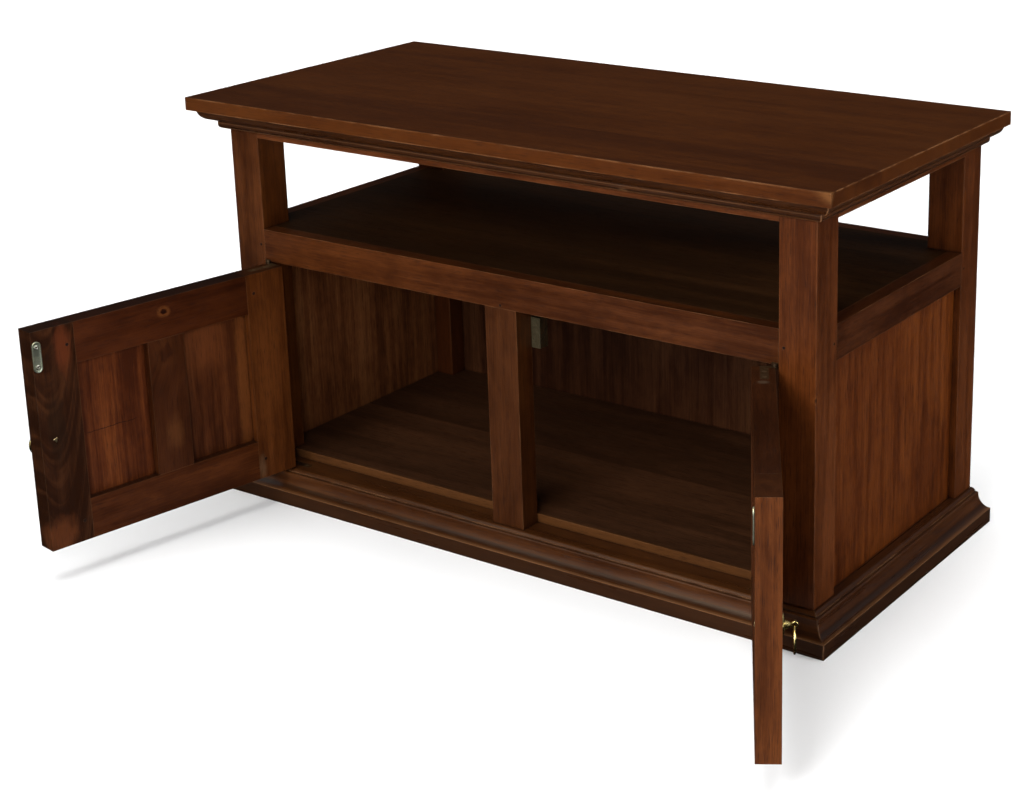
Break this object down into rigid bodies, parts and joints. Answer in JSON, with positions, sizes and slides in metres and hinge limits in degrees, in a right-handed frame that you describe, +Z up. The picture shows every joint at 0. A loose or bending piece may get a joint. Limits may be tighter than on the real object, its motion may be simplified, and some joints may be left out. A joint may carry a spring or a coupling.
{
  "type": "tv stand with doors",
  "caption": "Solid-wood TV stand with an open media bay under a moulded top and an inset-door cabinet on a coved plinth.",
  "frame": {"origin": "on the floor, at the middle of the four posts' footprint, on the underside of the centre bearer", "axes": "+X to the right seen from the front, +Y to the back, +Z up"},
  "size_m": [1.1129, 0.8153, 0.575],
  "materials": {
    "top_wood": "dark mahogany stain, satin lacquer, worn at the edges",
    "frame_wood": "mahogany stain, satin lacquer",
    "moulding_wood": "mahogany stain, satin lacquer, rubbed lighter along the edges",
    "panel_wood": "mahogany stain, satin lacquer, strong grain",
    "inside_wood": "dark mahogany stain, satin",
    "peg_wood": "dark end grain",
    "brass": "polished, lacquered",
    "nickel": "nickel plated",
    "hinge_steel": "dulled",
    "screw_steel": "plain",
    "catch_body": "dull bronze"
  },
  "bodies": {
    "carcass": {"apron_back": "frame_wood", "apron_front": "frame_wood", "apron_left": "frame_wood", "apron_right": "frame_wood", "back_panel": "panel_wood", "base_back": "inside_wood", "base_centre_bearer": "inside_wood", "base_front": "moulding_wood", "base_left": "moulding_wood", "base_right": "moulding_wood", "carcass_pegs": "peg_wood", "carcass_screws": "screw_steel", "case_screws": "screw_steel", "centre_stile": "frame_wood", "cornice_front": "moulding_wood", "cornice_left": "moulding_wood", "cornice_right": "moulding_wood", "floor_panel": "inside_wood", "hinge_case_leaves": "hinge_steel", "magnetic_catches": "catch_body", "mid_rail_back": "frame_wood", "mid_rail_front": "frame_wood", "mid_rail_left": "frame_wood", "mid_rail_right": "frame_wood", "post_back_left": "frame_wood", "post_back_right": "frame_wood", "post_front_left": "frame_wood", "post_front_right": "frame_wood", "shelf_panel": "inside_wood", "side_panel_left": "panel_wood", "side_panel_right": "panel_wood", "top_panel": "top_wood"},
    "door_left": {"door_hinge_stile_left": "frame_wood", "door_free_stile_left": "frame_wood", "door_top_rail_left": "frame_wood", "door_bottom_rail_left": "frame_wood", "door_muntin_left": "frame_wood", "door_panel_hinge_side_left": "panel_wood", "door_panel_free_side_left": "panel_wood", "door_pegs_left": "peg_wood", "door_screws_left": "screw_steel", "hinge_door_leaves_left": "hinge_steel", "strike_plate_left": "nickel", "pull_rosette_left": "brass", "pull_eye_left": "brass"},
    "ring_left": {"pull_ring_left": "brass"},
    "door_right": {"door_hinge_stile_right": "frame_wood", "door_free_stile_right": "frame_wood", "door_top_rail_right": "frame_wood", "door_bottom_rail_right": "frame_wood", "door_muntin_right": "frame_wood", "door_panel_hinge_side_right": "panel_wood", "door_panel_free_side_right": "panel_wood", "door_pegs_right": "peg_wood", "door_screws_right": "screw_steel", "hinge_door_leaves_right": "hinge_steel", "strike_plate_right": "nickel", "pull_rosette_right": "brass", "pull_eye_right": "brass"},
    "ring_right": {"pull_ring_right": "brass"}
  },
  "joints": [
    {"name": "door_left_hinge", "type": "hinge", "parent": "carcass", "child": "door_left", "pos_m": [-0.4055, -0.219, 0.195], "axis": [0, 0, -1], "range_deg": [-100.5, 74.5]},
    {"name": "pull_ring_left_swing", "type": "hinge", "parent": "door_left", "child": "ring_left", "pos_m": [-0.48303, -0.56873, 0.195], "axis": [0.1822, 0.9833, 0], "range_deg": [-18, 120]},
    {"name": "door_right_hinge", "type": "hinge", "parent": "carcass", "child": "door_right", "pos_m": [0.4055, -0.219, 0.195], "axis": [0, 0, 1], "range_deg": [-121.5, 53.5]},
    {"name": "pull_ring_right_swing", "type": "hinge", "parent": "door_right", "child": "ring_right", "pos_m": [0.60321, -0.51771, 0.195], "axis": [0.5225, -0.8526, 0], "range_deg": [-18, 120]}
  ]
}
